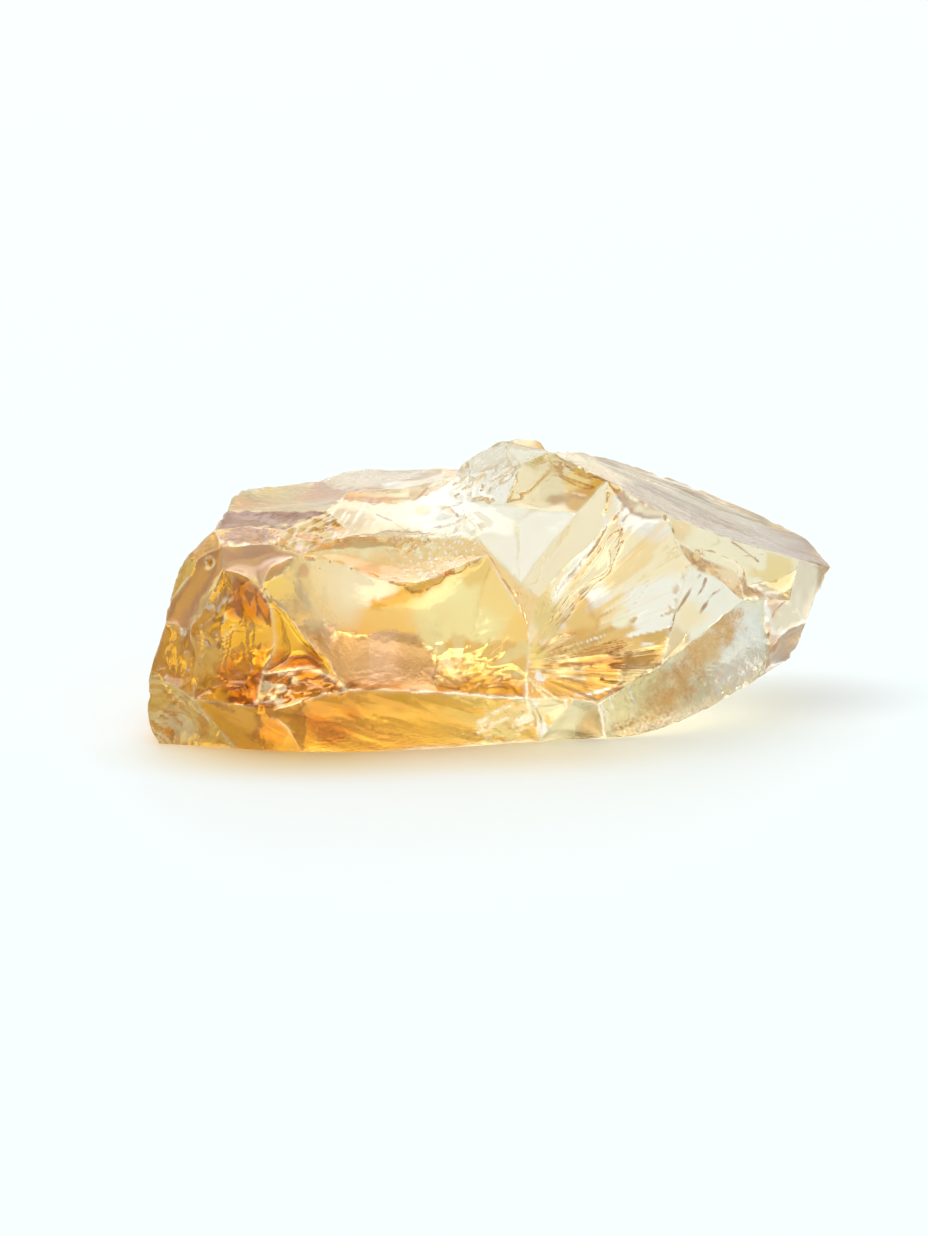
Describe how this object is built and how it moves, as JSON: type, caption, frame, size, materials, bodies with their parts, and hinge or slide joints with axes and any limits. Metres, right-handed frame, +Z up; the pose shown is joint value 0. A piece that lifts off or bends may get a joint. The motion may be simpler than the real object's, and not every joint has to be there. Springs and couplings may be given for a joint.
{
  "type": "rough citrine crystal",
  "caption": "Rough piece of clear, honey-coloured citrine with curved fracture facets, a scoop, a fan-shaped hollow and a crest. Rests on its flat underside.",
  "frame": {"origin": "centre of the bounding box at the flat underside", "axes": "+X along the length, from the deep amber end to the pale tip; +Y to the back; +Z up"},
  "size_m": [0.036, 0.0179, 0.0144],
  "materials": {
    "citrine": "clear glossy fracture surfaces, deep amber on the left fading to nearly colourless on the right"
  },
  "bodies": {
    "root": {"citrine": "citrine"}
  },
  "joints": []
}
